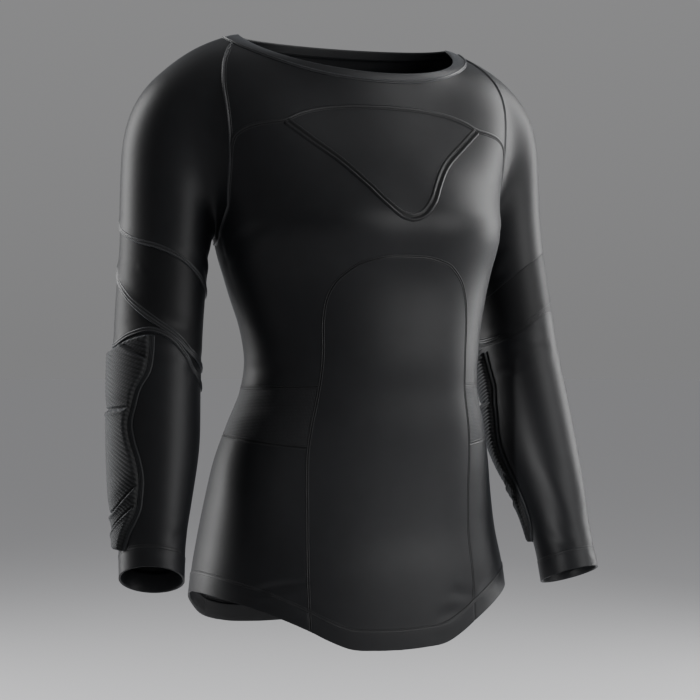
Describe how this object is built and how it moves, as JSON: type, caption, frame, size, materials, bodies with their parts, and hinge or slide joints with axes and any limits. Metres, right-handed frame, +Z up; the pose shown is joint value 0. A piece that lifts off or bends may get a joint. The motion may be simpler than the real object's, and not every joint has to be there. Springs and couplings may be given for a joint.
{
  "type": "padded compression shirt",
  "caption": "Long-sleeved compression shirt with raglan sleeves, boat neck, shaped front panels, curved hem and ribbed forearm pads, holding its worn shape.",
  "frame": {"origin": "middle of the neck at the height of the shoulders, where the wearer holds the shirt up", "axes": "+Z up the body towards the neck, the front faces -Y, +X towards the wearer's left sleeve"},
  "size_m": [0.5773, 0.2745, 0.6559],
  "materials": {
    "jersey": "smooth near-black compression jersey with a soft cool sheen",
    "chest_panel": "near-black compression jersey with raised seams",
    "waist_mesh": "near-black fine knit mesh",
    "elbow_cloth": "near-black dense jersey",
    "pad_mesh": "matte charcoal ribbed mesh over foam",
    "neckband": "near-black folded jersey band with a grey piped seam"
  },
  "bodies": {
    "root": {"neckband": "neckband", "front_yoke": "jersey", "chest_vee": "chest_panel", "front_bust": "jersey", "front_centre": "jersey", "waist_side_left": "waist_mesh", "waist_side_right": "waist_mesh", "hip_side_left": "jersey", "hip_side_right": "jersey", "back": "jersey", "sleeve_upper_left": "jersey", "sleeve_upper_right": "jersey", "elbow_wrap_left": "elbow_cloth", "elbow_wrap_right": "elbow_cloth", "elbow_panel_left": "elbow_cloth", "elbow_panel_right": "elbow_cloth", "forearm_left": "jersey", "forearm_right": "jersey", "forearm_pad_left": "pad_mesh", "forearm_pad_right": "pad_mesh"}
  },
  "joints": []
}
